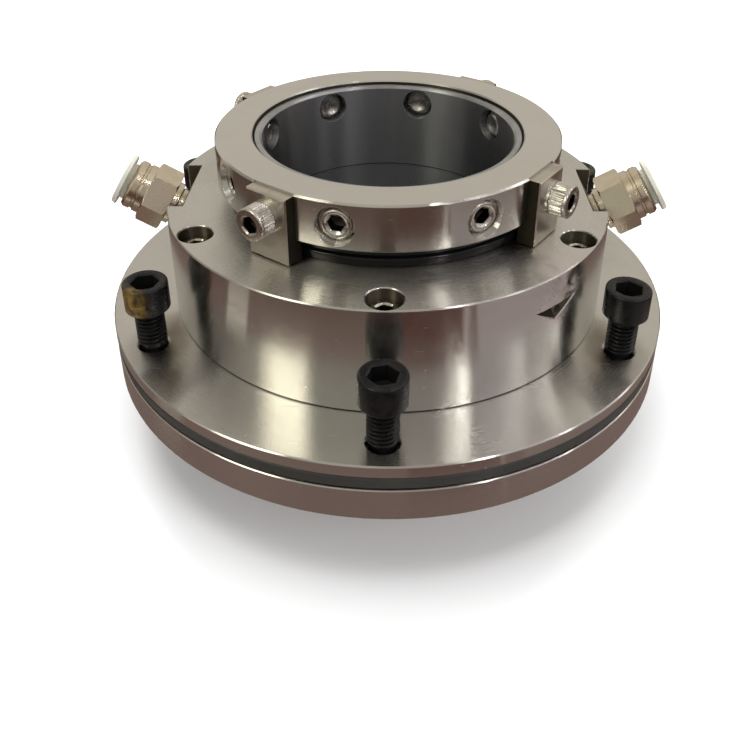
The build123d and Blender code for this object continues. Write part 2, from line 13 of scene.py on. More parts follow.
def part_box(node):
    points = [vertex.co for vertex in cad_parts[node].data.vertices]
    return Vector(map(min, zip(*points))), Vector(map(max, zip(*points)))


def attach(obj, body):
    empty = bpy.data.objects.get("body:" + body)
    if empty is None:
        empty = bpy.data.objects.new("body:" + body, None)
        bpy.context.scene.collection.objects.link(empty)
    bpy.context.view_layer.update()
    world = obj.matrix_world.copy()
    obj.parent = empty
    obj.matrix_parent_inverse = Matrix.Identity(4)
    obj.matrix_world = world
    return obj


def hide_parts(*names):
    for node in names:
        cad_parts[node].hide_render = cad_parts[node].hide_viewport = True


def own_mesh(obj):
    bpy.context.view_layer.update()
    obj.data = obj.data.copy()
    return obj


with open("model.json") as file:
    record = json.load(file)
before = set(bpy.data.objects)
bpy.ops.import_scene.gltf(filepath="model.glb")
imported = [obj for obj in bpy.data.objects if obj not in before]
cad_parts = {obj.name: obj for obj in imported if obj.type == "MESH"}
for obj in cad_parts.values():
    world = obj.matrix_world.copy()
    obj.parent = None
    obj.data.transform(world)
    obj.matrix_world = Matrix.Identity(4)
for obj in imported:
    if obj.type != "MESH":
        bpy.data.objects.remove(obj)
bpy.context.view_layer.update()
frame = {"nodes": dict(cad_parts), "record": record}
nodes = frame["nodes"]
MM = 0.001
MOUNTS = {mount["name"]: mount for mount in frame["record"]["mounts"]}


def box_mm(node):
    """The lowest and highest corner of a CAD node, in millimetres."""
    low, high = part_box(node)
    return Vector(low) / MM, Vector(high) / MM


# --- material nodes ------------------------------------------------------------------------------
def rgba(colour):
    """A colour with full alpha, as sockets take it."""
    return (*colour, 1.0)


def shade(colour, factor):
    """The same colour, darker or lighter."""
    return tuple(c * factor for c in colour)


class Nodes:
    """Makes and links the nodes of one tree; an input may be a number, a colour or a socket."""

    def __init__(self, tree):
        self.tree = tree

    def add(self, kind, inputs=None, **settings):
        node = self.tree.nodes.new(kind)
        for key, value in settings.items():
            setattr(node, key, value)
        self.set(node, inputs or {})
        return node

    def set(self, node, inputs):
        for key, value in inputs.items():
            if isinstance(value, bpy.types.NodeSocket):
                self.tree.links.new(value, node.inputs[key])
            else:
                node.inputs[key].default_value = value

    def math(self, operation, a, b=0.0):
        return self.add("ShaderNodeMath", {0: a, 1: b}, operation=operation).outputs[0]

    def sum(self, *values):
        result = values[0]
        for value in values[1:]:
            result = self.math("ADD", result, value)
        return result

    def product(self, *values):
        result = values[0]
        for value in values[1:]:
            result = self.math("MULTIPLY", result, value)
        return result

    def span(self, value, low, high, to_low=0.0, to_high=1.0):
        """Maps low..high to to_low..to_high and holds the ends."""
        inputs = {"Value": value, "From Min": low, "From Max": high}
        inputs.update({"To Min": to_low, "To Max": to_high})
        return self.add("ShaderNodeMapRange", inputs, clamp=True).outputs[0]


class Shader(Nodes):
    """The nodes of one material of the part, round its Principled shader."""

    def __init__(self, name, base, roughness, metallic=0.0, **sockets):
        self.material = bpy.data.materials.new(name)
        self.material.use_nodes = True
        super().__init__(self.material.node_tree)
        self.bsdf = self.tree.nodes["Principled BSDF"]
        plain = {"Base Color": rgba(base), "Roughness": roughness, "Metallic": metallic}
        self.set(self.bsdf, plain)
        self.set(self.bsdf, {key.replace("_", " "): value for key, value in sockets.items()})
        self.coords = self.add("ShaderNodeTexCoord").outputs["Object"]

    def finish(self, tint, roughness, normal):
        self.set(self.bsdf, {"Base Color": tint, "Roughness": roughness, "Normal": normal})
        return self.material

    def noise(self, scale, detail=2.0, stretch=None, distortion=0.0, rough=0.5):
        source = self.coords
        if stretch:
            source = self.add("ShaderNodeMapping", {"Vector": source, "Scale": stretch}).outputs[0]
        inputs = {"Vector": source, "Scale": scale, "Detail": detail}
        inputs.update({"Distortion": distortion, "Roughness": rough})
        return self.add("ShaderNodeTexNoise", inputs).outputs["Fac"]

    def line_noise(self, w, scale, detail):
        node = self.add("ShaderNodeTexNoise", noise_dimensions="1D")
        self.set(node, {"W": w, "Scale": scale, "Detail": detail})
        return node.outputs["Fac"]

    def mix(self, factor, a, b):
        node = self.add("ShaderNodeMix", data_type="RGBA")
        self.set(node, {0: factor, 6: a, 7: b})
        return node.outputs[2]

    def bump(self, height, strength, distance, normal=None):
        inputs = {"Height": height, "Strength": strength, "Distance": distance * MM}
        if normal:
            inputs["Normal"] = normal
        return self.add("ShaderNodeBump", inputs).outputs[0]

    def soft_edges(self, radius=0.25):
        return self.add("ShaderNodeBevel", {"Radius": radius * MM}, samples=4).outputs[0]

    def surface_normal(self):
        return self.add("ShaderNodeNewGeometry").outputs["True Normal"]

    def upward(self):
        """How far the surface faces up: 1 on a level top, 0 on a wall."""
        return self.add("ShaderNodeSeparateXYZ", {0: self.surface_normal()}).outputs[2]

    def hollow(self):
        """How deep in a hollow of its mesh a point lies, from 0 to 1, for painted shade."""
        return self.add("ShaderNodeAttribute", attribute_name="hollow").outputs["Fac"]

    def grain_around_shaft(self):
        """Lets the anisotropic shine follow turning marks around the shaft axis."""
        tangent = self.add("ShaderNodeTangent", direction_type="RADIAL", axis="Z").outputs[0]
        self.set(self.bsdf, {"Tangent": tangent})

    def axes(self):
        """Height along the shaft axis and distance from it, in metres."""
        x, y, z = self.add("ShaderNodeSeparateXYZ", {0: self.coords}).outputs
        return z, self.math("SQRT", self.sum(self.product(x, x), self.product(y, y)))

    def near(self, place, reach):
        """1 at a place of the object, falling to 0 at this reach, both in millimetres."""
        ends = {0: self.coords, 1: Vector(place) * MM}
        away = self.add("ShaderNodeVectorMath", ends, operation="DISTANCE").outputs["Value"]
        return self.span(away, 0.4 * reach * MM, reach * MM, 1.0, 0.0)


# Colours of what lies on the metal, of painted shade where it is hollow or left rough, and sizes
# of the marks.
OIL = (0.20, 0.13, 0.09)
FINGER_GREASE = (0.82, 0.71, 0.70)
PAINTED_POCKET_SHADE = (0.085, 0.072, 0.046)
PAINTED_SHADE_AND_OIL = (0.022, 0.020, 0.017)
PAINTED_FLANK_SHADE = (0.030, 0.027, 0.017)
RUST = (0.24, 0.145, 0.025)
DUST = (0.10, 0.085, 0.06)
NEAR_BLACK = (0.003, 0.003, 0.003)
STAIN_REACH = 8.0
JOINT_LINE = 0.3
# The bore's land end, and the half width and radius of the painted shade line there.
BORE_LAND_END = 71.2
BORE_SHADE_LINE_HALF = 0.22
BORE_SHADE_LINE_RADIUS = 43.2


def turned_steel(name, colour, roughness, smudge, recess=None, smears=(), faced=0.0, joint=None):
    """Lathe-turned steel: fine tool lines, faint bands, smudges and softly broken edges.

    recess is (radius, low, high, colour): what lies inside that radius between those heights is
    milled and rougher, and darkened to that colour as painted shade. smears are (place, reach) of
    greasy finger marks. faced is the extra roughness of faces that look up. joint is the height of
    the foot, where a dark line of oil sits."""
    s = Shader(name, colour, roughness, metallic=1.0, Anisotropic=0.97, Anisotropic_Rotation=0.25)
    height, radius = s.axes()
    along = s.sum(height, radius)
    lines = s.line_noise(along, 3200.0, 3.0)
    bands = s.line_noise(along, 300.0, 2.0)
    clouds = s.noise(24.0, 4.0, distortion=0.6)
    grease = s.span(s.noise(46.0, 5.0, distortion=1.2, rough=0.62), 0.50, 0.74)
    specks = s.span(s.noise(760.0, 2.0), 0.73, 0.80)
    hairs = s.noise(120.0, 1.0, stretch=(1.0, 14.0, 14.0), distortion=0.3)
    scratch = s.span(hairs, 0.765, 0.79)
    tint = s.mix(s.span(bands, 0.3, 0.7, 0.0, 0.10), rgba(colour), rgba(shade(colour, 0.80)))
    tint = s.mix(s.span(clouds, 0.35, 0.7, 0.0, 0.22), tint, rgba(shade(colour, 1.10)))
    tint = s.mix(s.product(grease, 0.20 * smudge), tint, rgba(OIL))
    tint = s.mix(s.product(specks, 0.45), tint, rgba(shade(colour, 0.35)))
    rough = s.sum(s.span(lines, 0.25, 0.75, roughness - 0.02, roughness + 0.03),
                  s.product(grease, 0.13 * smudge), s.span(clouds, 0.3, 0.7, -0.02, 0.03),
                  s.product(scratch, 0.10))
    for place, reach in smears:
        swirl = s.span(s.noise(110.0, 3.0, distortion=2.0), 0.32, 0.62)
        mark = s.product(swirl, s.near(place, reach))
        tint = s.mix(s.product(mark, 0.60), tint, rgba(FINGER_GREASE))
        rough = s.sum(rough, s.product(mark, 0.28))
    if joint:
        crevice = s.math("LESS_THAN", height, (joint + JOINT_LINE) * MM)
        tint = s.mix(s.product(crevice, 0.9), tint, rgba(PAINTED_SHADE_AND_OIL))
    # Painted shade: surfaces inside the recess are darkened to its colour; the added roughness is
    # their milled finish.
    if recess:
        depth_radius, low, high, recess_shade = recess
        inside = s.product(s.math("LESS_THAN", radius, depth_radius * MM),
                           s.math("GREATER_THAN", height, low * MM),
                           s.math("LESS_THAN", height, high * MM))
        tint = s.mix(s.product(inside, 0.92), tint, rgba(recess_shade))
        rough = s.sum(rough, s.product(inside, 0.35))
    normal = s.bump(lines, 0.10, 0.003, s.soft_edges())
    normal = s.bump(clouds, 0.04, 0.02, normal)
    normal = s.bump(scratch, 0.10, 0.006, normal)
    rough = s.sum(rough, s.product(s.math("GREATER_THAN", s.upward(), 0.8), faced))
    s.grain_around_shaft()
    return s.finish(tint, rough, normal)


def bored_steel():
    """The sleeve's honed bore: bluish steel, streaks along the shaft, and a painted shade line at
    its land's end.
    """
    colour = (0.44, 0.45, 0.47)
    s = Shader("sleeve_steel", colour, 0.33, metallic=1.0, Anisotropic=0.90,
               Anisotropic_Rotation=0.25)
    height, radius = s.axes()
    streaks = s.noise(150.0, 3.0, stretch=(1.0, 1.0, 0.06))
    clouds = s.noise(30.0, 3.0, distortion=0.5)
    # Painted shade: a thin dark line where the bore's land ends and the relief begins.
    off_line = s.math("ABSOLUTE", s.math("SUBTRACT", height, BORE_LAND_END * MM))
    line = s.product(s.math("LESS_THAN", off_line, BORE_SHADE_LINE_HALF * MM),
                     s.math("LESS_THAN", radius, BORE_SHADE_LINE_RADIUS * MM))
    tint = s.mix(s.span(streaks, 0.35, 0.65, 0.0, 0.5), rgba(colour), rgba(shade(colour, 0.62)))
    tint = s.mix(s.span(clouds, 0.4, 0.7, 0.0, 0.25), tint, rgba(shade(colour, 1.15)))
    tint = s.mix(s.product(line, 0.85), tint, rgba((0.03, 0.03, 0.03)))
    rough = s.span(streaks, 0.3, 0.7, 0.26, 0.35)
    s.grain_around_shaft()
    return s.finish(tint, rough, s.bump(streaks, 0.08, 0.01, s.soft_edges()))


def bright_steel(name, colour, roughness, smudge=0.4, soften=True):
    """Bright steel of small screws and springs, fine grained, with painted shade in the mesh's
    hollows.
    """
    s = Shader(name, colour, roughness, metallic=1.0)
    grain = s.noise(900.0, 3.0)
    clouds = s.noise(90.0, 3.0, distortion=0.5)
    tint = s.mix(s.span(grain, 0.35, 0.75, 0.0, 0.25), rgba(colour), rgba(shade(colour, 0.60)))
    tint = s.mix(s.span(clouds, 0.5, 0.75, 0.0, smudge), tint, rgba(OIL))
    # Painted shade: the hollows of the mesh are darkened.
    tint = s.mix(s.product(s.hollow(), 0.93), tint, rgba(PAINTED_SHADE_AND_OIL))
    rough = s.sum(s.span(grain, 0.3, 0.7, roughness - 0.05, roughness + 0.07),
                  s.span(clouds, 0.4, 0.7, 0.0, 0.06))
    return s.finish(tint, rough, s.bump(grain, 0.25, 0.010, s.soft_edges() if soften else None))


def clip_steel():
    """Milled setting clip: brushed front and top, and side faces sawn and rougher, with painted
    shade that darkens them to olive black.
    """
    colour = (0.58, 0.54, 0.48)
    s = Shader("clip_steel", colour, 0.30, metallic=1.0)
    lines = s.noise(700.0, 3.0, stretch=(7.0, 7.0, 0.35))
    clouds = s.noise(110.0, 3.0, distortion=0.5)
    level = {0: s.coords, 1: (1.0, 1.0, 0.0)}
    out = s.add("ShaderNodeVectorMath", level, operation="MULTIPLY").outputs[0]
    out = s.add("ShaderNodeVectorMath", {0: out}, operation="NORMALIZE").outputs[0]
    facing = s.add("ShaderNodeVectorMath", {0: s.surface_normal(), 1: out},
                   operation="DOT_PRODUCT").outputs["Value"]
    flank = s.product(s.math("LESS_THAN", s.math("ABSOLUTE", facing), 0.5),
                      s.math("LESS_THAN", s.math("ABSOLUTE", s.upward()), 0.5))
    tint = s.mix(s.span(lines, 0.35, 0.75, 0.0, 0.28), rgba(colour), rgba(shade(colour, 0.62)))
    tint = s.mix(s.span(clouds, 0.5, 0.75, 0.0, 0.35), tint, rgba(OIL))
    # Painted shade: the side faces are darkened to near-black olive; their added roughness is the
    # sawn finish.
    tint = s.mix(s.product(flank, 0.97), tint, rgba(PAINTED_FLANK_SHADE))
    rough = s.sum(s.span(lines, 0.3, 0.7, 0.27, 0.38), s.product(flank, 0.25))
    return s.finish(tint, rough, s.bump(lines, 0.30, 0.010, s.soft_edges()))


def black_oxide(stain_place):
    """Oiled black oxide on the flange screws: mottled, with one head stained by oil and rust, and
    painted shade in the sockets.
    """
    s = Shader("black_oxide", (0.005, 0.005, 0.006), 0.28, Specular_IOR_Level=0.30)
    hollow = s.hollow()
    mottle = s.noise(300.0, 4.0, distortion=0.4)
    dust = s.span(s.noise(95.0, 4.0, distortion=0.8), 0.55, 0.80)
    rust = s.span(s.noise(190.0, 4.0, distortion=1.0), 0.38, 0.60)
    tint = s.mix(s.span(mottle, 0.35, 0.75), rgba((0.003, 0.003, 0.004)),
                 rgba((0.009, 0.009, 0.009)))
    tint = s.mix(s.product(dust, 0.14), tint, rgba(DUST))
    tint = s.mix(s.product(rust, s.near(stain_place, STAIN_REACH), 0.85), tint, rgba(RUST))
    # Painted shade: the sockets are darkened to near black.
    tint = s.mix(hollow, tint, rgba(NEAR_BLACK))
    rough = s.sum(s.span(mottle, 0.3, 0.7, 0.22, 0.36), s.product(hollow, 0.4))
    return s.finish(tint, rough, s.bump(mottle, 0.25, 0.03, s.soft_edges(0.2)))


def rubber(name, colour, roughness, bloom, shine):
    """Moulded rubber with a faint bloom and fine grain."""
    s = Shader(name, colour, roughness, Specular_IOR_Level=shine)
    grain = s.noise(700.0, 3.0)
    clouds = s.noise(60.0, 3.0)
    tint = s.mix(s.span(clouds, 0.4, 0.7, 0.0, bloom), rgba(colour), rgba(shade(colour, 1.6)))
    rough = s.span(grain, 0.3, 0.7, roughness - 0.06, roughness + 0.08)
    return s.finish(tint, rough, s.bump(grain, 0.2, 0.02))


def nickel_plate():
    """Nickel-plated brass: warm champagne, faintly mottled and pitted."""
    colour = (0.70, 0.63, 0.50)
    s = Shader("nickel_plate", colour, 0.24, metallic=1.0)
    clouds = s.noise(140.0, 4.0, distortion=0.4)
    pits = s.span(s.noise(1100.0, 2.0), 0.66, 0.76)
    tint = s.mix(s.span(clouds, 0.35, 0.7, 0.0, 0.5), rgba(colour), rgba((0.56, 0.48, 0.35)))
    tint = s.mix(s.product(pits, 0.45), tint, rgba((0.28, 0.22, 0.14)))
    rough = s.span(clouds, 0.3, 0.7, 0.20, 0.34)
    return s.finish(tint, rough, s.bump(clouds, 0.3, 0.03, s.soft_edges()))


def ivory_plastic():
    """Moulded ivory acetal with handling marks and a little translucency."""
    s = Shader("ivory_plastic", (0.62, 0.60, 0.52), 0.42, Subsurface_Weight=0.15,
               Subsurface_Scale=2.0 * MM)
    clouds = s.noise(200.0, 3.0)
    tint = s.mix(s.span(clouds, 0.35, 0.75), rgba((0.64, 0.62, 0.53)), rgba((0.54, 0.52, 0.43)))
    rough = s.span(clouds, 0.3, 0.7, 0.36, 0.50)
    return s.finish(tint, rough, s.bump(clouds, 0.15, 0.03, s.soft_edges()))


def fine_grained(name, dark, light, grain_scale, low_rough, high_rough):
    """Dense material with fine grain, such as lapped carbide or machined carbon."""
    s = Shader(name, dark, low_rough)
    grain = s.noise(grain_scale, 3.0)
    tint = s.mix(s.span(grain, 0.4, 0.7), rgba(dark), rgba(light))
    rough = s.span(grain, 0.3, 0.7, low_rough, high_rough)
    return s.finish(tint, rough, s.bump(grain, 0.2, 0.01))


# --- meshes of the detailed pieces ---------------------------------------------------------------
ARC_STEPS = 4


def arc(centre_r, centre_z, radius, start, end):
    """Points on a rounded corner of a turned outline, from one angle to the other in degrees."""
    turns = [math.radians(start + (end - start) * k / ARC_STEPS) for k in range(ARC_STEPS + 1)]
    return [(centre_r + radius * math.cos(a), centre_z + radius * math.sin(a)) for a in turns]


def hexagon_radius(across_flats):
    """Radius of a hexagon at any angle."""
    sixth = math.pi / 3

    def radius(angle):
        return across_flats / 2 / math.cos((angle + sixth / 2) % sixth - sixth / 2)

    return radius


def knurl_radius(radius, teeth, depth):
    """Radius of a straight knurl: pointed teeth with their tips on this radius."""

    def at(angle):
        phase = (angle * teeth / (2 * math.pi)) % 1.0
        return radius - depth * abs(2 * phase - 1)

    return at


def lathe(bm, outline, segments, place):
    """Turns an open outline of (radius, height) points.

    A radius may be a function of the angle, and 0 closes an end. A third number marks how deep in
    a hollow a point lies, from 0 to 1, for the material's painted shade."""
    layer = bm.verts.layers.float.get("hollow") or bm.verts.layers.float.new("hollow")
    rows = []
    for radius, height, *hollow in outline:
        row = []
        for k in range(segments if radius else 1):
            angle = 2 * math.pi * k / segments
            r = radius(angle) if callable(radius) else radius
            point = Vector((r * math.cos(angle), r * math.sin(angle), height))
            vertex = bm.verts.new(place @ point)
            vertex[layer] = hollow[0] if hollow else 0.0
            row.append(vertex)
        rows.append(row)
    for low, high in zip(rows, rows[1:]):
        for k in range(segments):
            j = (k + 1) % segments
            if len(low) == 1:
                bm.faces.new((low[0], high[j], high[k]))
            elif len(high) == 1:
                bm.faces.new((low[k], low[j], high[0]))
            else:
                bm.faces.new((low[k], low[j], high[j], high[k]))


def thread(bm, crest, root, pitch, low, turns, segments, place):
    """A helical thread on a shank, from height low up; each end fades out over half a turn."""
    steps = turns * segments
    profile = ((0.0, 0.0), (0.0, 0.22), (1.0, 0.52), (1.0, 0.68))

    def vertex(step, depth, along):
        fade = max(0.0, min(1.0, 2 * step / segments, 2 * (steps - step) / segments))
        r = root + (crest - root) * depth * fade
        angle = 2 * math.pi * step / segments
        z = low + pitch * (step / segments + along)
        return bm.verts.new(place @ Vector((r * math.cos(angle), r * math.sin(angle), z)))

    rows = [[vertex(k, depth, along) for depth, along in profile] for k in range(steps + 1)]
    tops = [vertex(k, 0.0, 1.0) for k in range(steps - segments, steps + 1)]
    floor = [vertex(k, 0.0, -k / segments) for k in range(segments + 1)]
    last = steps - segments
    ceiling = [vertex(last + k, 0.0, 2.0 - k / segments) for k in range(segments + 1)]
    for k in range(steps):
        for i in range(3):
            bm.faces.new((rows[k][i], rows[k + 1][i], rows[k + 1][i + 1], rows[k][i + 1]))
        if k < last:
            bm.faces.new((rows[k][3], rows[k + 1][3],
                          rows[k + 1 + segments][0], rows[k + segments][0]))
        else:
            i = k - last
            bm.faces.new((rows[k][3], rows[k + 1][3], tops[i + 1], tops[i]))
            bm.faces.new((tops[i], tops[i + 1], ceiling[i + 1], ceiling[i]))
        if k < segments:
            bm.faces.new((floor[k], floor[k + 1], rows[k + 1][0], rows[k][0]))


def coil(bm, radius, wire, low, high, turns, place, segments=28, sides=8):
    """A coil spring of round wire, of this wire radius, between two heights."""
    up = Vector((0, 0, 1))
    around_wire = [2 * math.pi * i / sides for i in range(sides)]
    rows = []
    for k in range(turns * segments + 1):
        share = k / (turns * segments)
        angle = 2 * math.pi * turns * share
        out = Vector((math.cos(angle), math.sin(angle), 0))
        middle = radius * out + (low + wire + (high - low - 2 * wire) * share) * up
        ring = [middle + wire * (math.cos(b) * out + math.sin(b) * up) for b in around_wire]
        rows.append([bm.verts.new(place @ point) for point in ring])
    for first, second in zip(rows, rows[1:]):
        for i in range(sides):
            j = (i + 1) % sides
            bm.faces.new((first[i], first[j], second[j], second[i]))
    bm.faces.new(rows[0][::-1])
    bm.faces.new(rows[-1])


def socket_head(bm, radius, height, hex_af, edge, place, segments, shank, knurl=None):
    """A socket head standing on height 0: rounded rims, chamfered hexagon and a drilled bottom.

    knurl is (teeth, depth, low, high): the band of straight knurling on its side."""
    corner = hex_af / math.sqrt(3)
    socket_floor = height * 0.42
    hexagon = hexagon_radius(hex_af)
    side = arc(radius - edge * 0.5, edge * 0.5, edge * 0.5, -90, 0)
    if knurl:
        teeth, depth, low, high = knurl
        toothed = knurl_radius(radius, teeth, depth)
        side += [(toothed, low), (toothed, high), (radius - depth * 0.3, high + 0.25)]
    top = arc(radius - edge, height - edge, edge, 0, 90)
    socket = [(corner + 0.28, height), (hexagon, height - 0.45, 0.45),
              (hexagon, height - 1.2, 0.9), (hexagon, socket_floor, 1),
              (0, socket_floor - hex_af * 0.2, 1)]
    lathe(bm, [(shank, 0)] + side + top + socket, segments, place)


def radial(azimuth, z):
    """A place whose +Z points out from the shaft axis at this azimuth and height."""
    return (Matrix.Rotation(math.radians(azimuth), 4, "Z") @ Matrix.Translation((0, 0, z))
            @ Matrix.Rotation(math.pi / 2, 4, "Y"))


def upright(azimuth, radius, z):
    """A place whose +Z is the shaft's, on a bolt circle."""
    return Matrix.Rotation(math.radians(azimuth), 4, "Z") @ Matrix.Translation((radius, 0, z))


def around(count, first):
    """Azimuths in degrees of so many places spaced evenly round the shaft."""
    return [first + 360.0 / count * k for k in range(count)]


SMOOTH_ANGLE = math.radians(34)


def mesh_object(name, build, scale=1.0):
    """A new object whose mesh is filled in by build(bmesh)."""
    mesh = bpy.data.meshes.new(name)
    bm = bmesh.new()
    build(bm)
    bmesh.ops.remove_doubles(bm, verts=bm.verts, dist=1e-5)
    bmesh.ops.scale(bm, vec=(scale, scale, scale), verts=bm.verts)
    bm.to_mesh(mesh)
    bm.free()
    obj = bpy.data.objects.new(name, mesh)
    bpy.context.scene.collection.objects.link(obj)
    return obj


def piece(name, build, body, node, slot):
    """A detailed piece that stands for one CAD node, built in millimetres."""
    obj = mesh_object(name, build, MM)
    obj.data.materials.append(LOOKS[slot])
    obj.data.shade_smooth()
    obj.data.set_sharp_from_angle(angle=SMOOTH_ANGLE)
    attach(obj, body)
    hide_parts(node)
    return obj


# --- places taken from the frame -----------------------------------------------------------------
FLANGE_TOP = box_mm("flange_plate")[1].z
FLANGE_UNDERSIDE = MOUNTS["flange_seat"]["pos_m"][2] / MM
GLAND_LOW, GLAND_HIGH = box_mm("gland_body")
GLAND_RADIUS = GLAND_HIGH.y
COLLAR_LOW, COLLAR_HIGH = box_mm("drive_collar")
SCREW_CIRCLE = MOUNTS["flange_studs"]["dims"]["pcd_mm"] / 2
SCREW_RADIUS = MOUNTS["flange_studs"]["dims"]["stud_r_mm"]
SCREW_LOW, SCREW_HIGH = box_mm("flange_screws")
FASTENER_Z = sum(corner.z for corner in box_mm("set_screws")) / 2
SPRING_LOW, SPRING_HIGH = box_mm("face_springs")

# --- sizes of the CAD that the frame does not list -----------------------------------------------
SCREW_AZIMUTHS = around(6, 30.0)
SCREW_HEAD = 9.5
SCREW_SEAT = SCREW_HIGH.z - SCREW_HEAD
SET_SCREW_AZIMUTHS = around(8, -104.8)
CLIP_AZIMUTHS = around(4, -125.0)
CLIP_FACE_RADIUS = 61.0
CLIP_WASHER = 1.5
GLAND_SCREW_CIRCLE = 69.7
SPRING_AZIMUTHS = around(8, 22.5)
SPRING_CIRCLE, SPRING_RADIUS, SPRING_WIRE = 54.5, 2.1, 0.4
SMEAR_AZIMUTH = math.radians(-47.3) + 0.03
SMEAR_REACH = 14.0


# --- every material by its slot ------------------------------------------------------------------
STEEL = (0.62, 0.61, 0.585)
smear_place = (GLAND_RADIUS * math.cos(SMEAR_AZIMUTH), GLAND_RADIUS * math.sin(SMEAR_AZIMUTH),
               GLAND_HIGH.z - 5.0)
stain_place = upright(SCREW_AZIMUTHS[3], SCREW_CIRCLE, SCREW_SEAT) @ Vector((6.2, 3.0, 4.0))
# Painted shade in the gland's recesses and inner faces: pry notches, spot faces, counterbores and
# bore.
gland_recess = (GLAND_RADIUS - 0.3, GLAND_LOW.z + 0.6, GLAND_HIGH.z - 0.3, PAINTED_POCKET_SHADE)
# Painted shade in the collar's screw holes and inner faces.
collar_recess = (COLLAR_HIGH.y - 2.6, COLLAR_LOW.z + 0.5, COLLAR_HIGH.z - 0.5, PAINTED_SHADE_AND_OIL)
LOOKS = {
    "flange_steel": turned_steel("flange_steel", STEEL, 0.165, smudge=0.25, faced=0.06),
    "gland_steel": turned_steel("gland_steel", STEEL, 0.17, smudge=0.30, recess=gland_recess,
                                smears=[(smear_place, SMEAR_REACH)], faced=0.09, joint=FLANGE_TOP),
    "collar_steel": turned_steel("collar_steel", (0.62, 0.61, 0.58), 0.17, smudge=0.25,
                                 recess=collar_recess),
    "sleeve_steel": bored_steel(),
    "inner_steel": turned_steel("inner_steel", (0.56, 0.56, 0.55), 0.28, smudge=0.3),
    "clip_steel": clip_steel(),
    "stainless_screw": bright_steel("stainless_screw", (0.62, 0.59, 0.52), 0.24, soften=False),
    "clip_screw_steel": bright_steel("clip_screw_steel", (0.68, 0.66, 0.62), 0.24, smudge=0.1,
                                     soften=False),
    "set_screw_steel": bright_steel("set_screw_steel", (0.70, 0.68, 0.63), 0.24, smudge=0.1,
                                    soften=False),
    "spring_alloy": bright_steel("spring_alloy", (0.60, 0.60, 0.59), 0.22),
    "black_screw": black_oxide(stain_place),
    "nickel_plate": nickel_plate(),
    "collar_plastic": ivory_plastic(),
    "o_ring_rubber": rubber("o_ring_rubber", (0.034, 0.034, 0.030), 0.42, bloom=0.5, shine=0.5),
    "dust_rubber": rubber("dust_rubber", (0.005, 0.005, 0.005), 0.12, bloom=0.2, shine=0.3),
    "carbon": fine_grained("carbon", (0.035, 0.035, 0.040), (0.08, 0.08, 0.085), 1800.0,
                           0.38, 0.60),
    "silicon_carbide": fine_grained("silicon_carbide", (0.08, 0.08, 0.09), (0.17, 0.17, 0.18),
                                    2500.0, 0.18, 0.34),
}

for part in frame["record"]["subparts"]:
    data = nodes[part["node"]].data
    look = LOOKS[part["material_slot"]]
    if not data.materials:
        data.materials.append(look)
    for index in range(len(data.materials)):
        data.materials[index] = look


# --- the detailed pieces -------------------------------------------------------------------------
def flange_screws(bm):
    """Black socket head cap screws, with real threads above and below the flange they stand in."""
    head_radius, hex_af, edge = 7.15, 7.9, 0.8
    pitch, segments = 1.5, 36
    root, shank = SCREW_RADIUS - 0.85, SCREW_RADIUS - 0.15
    neck_low = SCREW_SEAT - 1.2
    tip = SCREW_LOW.z + 0.9
    upper_turns = round((neck_low - FLANGE_TOP) / pitch) - 1
    upper_low = neck_low - pitch * (upper_turns + 1)
    lower_turns = round((FLANGE_UNDERSIDE - tip) / pitch)
    for azimuth in SCREW_AZIMUTHS:
        place = upright(azimuth, SCREW_CIRCLE, 0) @ Matrix.Rotation(math.radians(15), 4, "Z")
        seat = place @ Matrix.Translation((0, 0, SCREW_SEAT))
        socket_head(bm, head_radius, SCREW_HEAD, hex_af, edge, seat, segments, shank)
        neck = [(root, neck_low), (shank, SCREW_SEAT - 0.5), (shank, SCREW_SEAT)]
        lathe(bm, neck, segments, place)
        thread(bm, SCREW_RADIUS, root, pitch, upper_low, upper_turns, segments, place)
        lathe(bm, [(root, FLANGE_UNDERSIDE), (root, upper_low)], segments, place)
        point = [(0, SCREW_LOW.z), (root - 0.6, SCREW_LOW.z), (root, tip)]
        lathe(bm, point, segments, place)
        thread(bm, SCREW_RADIUS, root, pitch, tip, lower_turns, segments, place)


def clip_screws(bm):
    """Knurled stainless cap screws through the setting clips."""
    head_radius, head, hex_af, edge = 5.2, 5.8, 5.0, 0.55
    shank, length, segments = 2.95, 13.0, 192
    seat = Matrix.Translation((0, 0, CLIP_FACE_RADIUS + CLIP_WASHER))
    for azimuth in CLIP_AZIMUTHS:
        place = radial(azimuth, FASTENER_Z) @ seat @ Matrix.Rotation(0.4, 4, "Z")
        socket_head(bm, head_radius, head, hex_af, edge, place, segments, shank,
                    knurl=(42, 0.45, 0.6, 4.3))
        lathe(bm, [(0, -length), (shank - 0.55, -length), (shank, 0.6 - length), (shank, 0)],
              segments, place)


def gland_screws(bm):
    """Cap screws sunk in the gland's counterbores."""
    head_radius, head, hex_af, edge = 5.0, 6.0, 5.0, 0.5
    shank, segments = 2.95, 144
    low, high = box_mm("gland_screws")
    end = low.z - high.z + head
    for azimuth in SCREW_AZIMUTHS:
        turned = Matrix.Rotation(math.radians(azimuth * 1.7), 4, "Z")
        place = upright(azimuth, GLAND_SCREW_CIRCLE, high.z - head) @ turned
        socket_head(bm, head_radius, head, hex_af, edge, place, segments, shank,
                    knurl=(36, 0.3, 0.6, 4.6))
        lathe(bm, [(0, end), (shank - 0.35, end), (shank, end + 0.5), (shank, 0)], segments, place)


